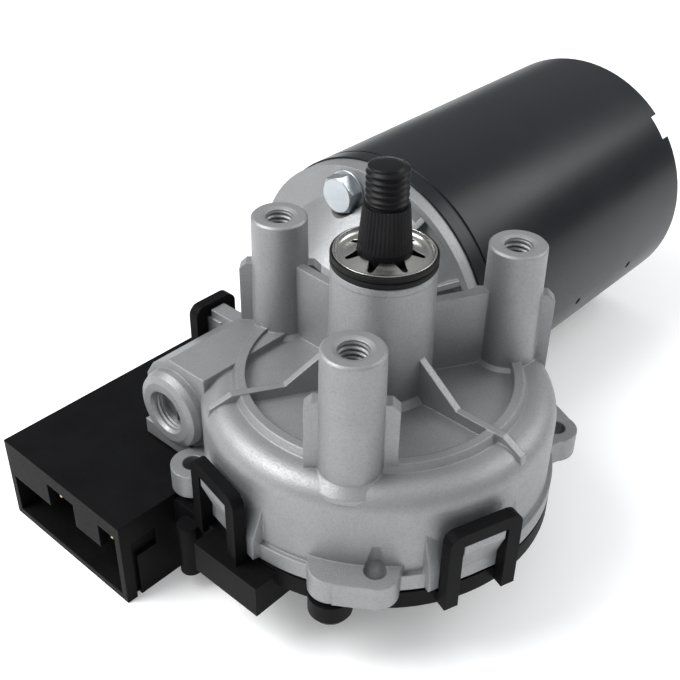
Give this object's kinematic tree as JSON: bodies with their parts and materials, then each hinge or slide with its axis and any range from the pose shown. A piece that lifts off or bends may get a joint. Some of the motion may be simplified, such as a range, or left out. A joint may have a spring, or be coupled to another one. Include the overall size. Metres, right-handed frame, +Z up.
{
  "type": "wiper motor",
  "caption": "Worm gear wiper motor: die-cast gear housing with three tapped posts, serrated output cone, round black motor can and plastic cover with connector.",
  "frame": {"origin": "on the output shaft's axis, in the plane of the three mounting post tops", "axes": "+Z up the output shaft towards its threaded end, +X along the armature towards the far end of the can, +Y from the output shaft towards the worm"},
  "size_m": [0.211, 0.1267, 0.1095],
  "materials": {
    "die_casting": "blasted die-cast aluminium, fine even grain",
    "sintered_bronze": "sintered bronze, satin",
    "black_rubber": "black rubber, matte",
    "black_plastic": "black moulded plastic, low sheen",
    "contact_brass": "bright contact brass",
    "black_screw": "black coated steel",
    "grey_steel": "plain grey steel",
    "bright_steel": "zinc plated steel",
    "white_nylon": "natural nylon",
    "can_paint": "black paint with a soft sheen",
    "ferrite": "dark ferrite",
    "brown_phenolic": "brown laminated phenolic",
    "copper_wire": "enamelled copper",
    "carbon": "copper graphite",
    "black_oxide_steel": "black oxide steel"
  },
  "bodies": {
    "housing": {"gear_housing": "die_casting", "upper_shaft_bush": "sintered_bronze", "lower_shaft_bush": "sintered_bronze", "shaft_seal_ring": "black_rubber", "cover_gasket": "black_rubber", "bottom_cover": "black_plastic", "connector_blades": "contact_brass", "park_contact_springs": "contact_brass", "cover_screw": "black_screw", "thrust_screw": "grey_steel", "thrust_pad": "white_nylon", "front_bearing": "sintered_bronze", "motor_can": "can_paint", "can_front_plate": "grey_steel", "can_seal_ring": "black_rubber", "can_bolts": "bright_steel", "field_magnets": "ferrite", "magnet_clips": "grey_steel", "rear_end_plate": "can_paint", "rear_bearing": "sintered_bronze", "rear_bearing_clip": "grey_steel", "brush_carrier": "brown_phenolic", "suppression_chokes": "copper_wire", "common_brush_spring": "grey_steel", "low_speed_brush_spring": "grey_steel", "high_speed_brush_spring": "grey_steel"},
    "armature": {"armature_shaft": "grey_steel", "worm": "grey_steel", "armature_core": "grey_steel", "armature_windings": "copper_wire", "commutator": "copper_wire"},
    "output": {"output_shaft": "black_oxide_steel", "worm_wheel": "white_nylon", "wheel_hub": "grey_steel", "park_disc": "contact_brass", "star_washer": "bright_steel", "thrust_washer": "grey_steel", "shaft_circlip": "grey_steel"},
    "brush_common": {"common_brush": "carbon"},
    "brush_low": {"low_speed_brush": "carbon"},
    "brush_high": {"high_speed_brush": "carbon"}
  },
  "joints": [
    {"name": "armature_turn", "type": "hinge", "parent": "housing", "child": "armature", "pos_m": [0.09, 0.038, -0.043], "axis": [1, 0, 0], "continuous": true},
    {"name": "output_turn", "type": "hinge", "parent": "housing", "child": "output", "pos_m": [0, 0, -0.02], "axis": [0, 0, 1], "continuous": true},
    {"name": "common_brush_slide", "type": "slide", "parent": "housing", "child": "brush_common", "axis": [0, 0, -1], "range_m": [0, 0.003], "stiffness_N_per_m": 200, "springref_m": -0.015, "deforming": ["common_brush_spring"]},
    {"name": "low_speed_brush_slide", "type": "slide", "parent": "housing", "child": "brush_low", "axis": [0, -1, 0], "range_m": [0, 0.003], "stiffness_N_per_m": 200, "springref_m": -0.015, "deforming": ["low_speed_brush_spring"]},
    {"name": "high_speed_brush_slide", "type": "slide", "parent": "housing", "child": "brush_high", "axis": [0, 0, 1], "range_m": [0, 0.003], "stiffness_N_per_m": 200, "springref_m": -0.015, "deforming": ["high_speed_brush_spring"]}
  ],
  "couplings": [
    {"joint": "output_turn", "follows": "armature_turn", "ratio": 0.015625}
  ]
}
